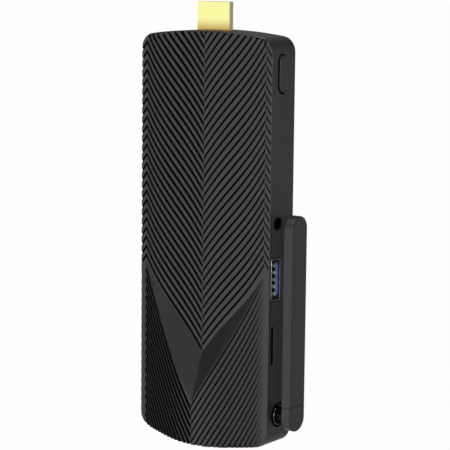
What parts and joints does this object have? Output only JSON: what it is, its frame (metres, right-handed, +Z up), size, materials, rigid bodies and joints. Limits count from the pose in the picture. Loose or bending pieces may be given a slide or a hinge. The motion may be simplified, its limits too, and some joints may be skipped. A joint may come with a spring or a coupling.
{
  "type": "hdmi stick computer",
  "caption": "Stick computer that plugs into a display by its own male plug, with a chevron-ribbed front cover, side sockets, a power button and a flat antenna on a side pivot",
  "frame": {"origin": "middle of the video plug on the plane where it leaves the top of the case", "axes": "+Z up along the plug, +X to the right seen from the front, -Y out of the ribbed front, +Y out of the flat back"},
  "size_m": [0.0648, 0.0215, 0.1583],
  "materials": {
    "cover_abs": "moulded ABS with a fine spark-eroded grain",
    "case_abs": "moulded ABS, fine matt grain",
    "button_abs": "moulded ABS, smooth matt",
    "antenna_abs": "moulded ABS, soft satin",
    "gold_plate": "gold-plated sheet steel",
    "contact_gold": "gold-plated copper alloy",
    "shell_steel": "nickel-plated sheet steel",
    "black_lcp": "moulded glass-filled liquid crystal polymer",
    "blue_lcp": "moulded blue polymer",
    "white_pom": "moulded acetal",
    "dark_chrome": "black nickel plating",
    "spring_steel": "spring steel",
    "board_fr4": "glass epoxy with solder mask",
    "copper_strip": "bare copper alloy",
    "cable_fep": "extruded fluoropolymer",
    "can_tin": "tin-plated steel can",
    "chip_epoxy": "moulded epoxy",
    "pad_silicone": "filled silicone sheet",
    "fin_aluminium": "extruded aluminium",
    "cell_steel": "nickel-plated steel cup",
    "screw_black": "black zinc-plated steel"
  },
  "bodies": {
    "case": {"front_cover": "cover_abs", "rear_housing": "case_abs", "main_board": "board_fr4", "hdmi_shell": "gold_plate", "hdmi_insert": "black_lcp", "hdmi_contacts": "contact_gold", "usb_shell": "shell_steel", "usb_tongue": "blue_lcp", "usb_contacts": "contact_gold", "audio_jack_body": "black_lcp", "card_socket": "shell_steel", "switch_body": "black_lcp", "pivot_bush": "black_lcp", "friction_washer": "spring_steel", "antenna_coax": "cable_fep", "wifi_module": "can_tin", "processor": "chip_epoxy", "thermal_pad": "pad_silicone", "heat_spreader": "fin_aluminium", "memory_chips": "chip_epoxy", "storage_chip": "chip_epoxy", "rtc_battery": "cell_steel", "case_screws": "screw_black", "network_jack_shield": "shell_steel", "network_jack_insert": "black_lcp", "network_jack_contacts": "contact_gold", "usb_c_shell": "shell_steel", "usb_c_tongue": "black_lcp"},
    "antenna": {"antenna_paddle": "antenna_abs", "antenna_knuckle": "antenna_abs", "antenna_element": "copper_strip", "antenna_pivot": "dark_chrome", "pivot_clip": "spring_steel"},
    "button": {"power_button": "button_abs"},
    "plunger": {"switch_plunger": "white_pom"}
  },
  "joints": [
    {"name": "antenna_swing", "type": "hinge", "parent": "case", "child": "antenna", "pos_m": [0.0284, 0, -0.1354], "axis": [1, 0, 0], "range_deg": [-90, 180]},
    {"name": "button_press", "type": "slide", "parent": "case", "child": "button", "axis": [-1, 0, 0], "range_m": [0, 0.0004], "stiffness_N_per_m": 3000, "springref_m": -0.0001},
    {"name": "plunger_press", "type": "slide", "parent": "case", "child": "plunger", "axis": [-1, 0, 0], "range_m": [0, 0.0004]}
  ],
  "couplings": [
    {"joint": "plunger_press", "follows": "button_press", "ratio": 1}
  ]
}
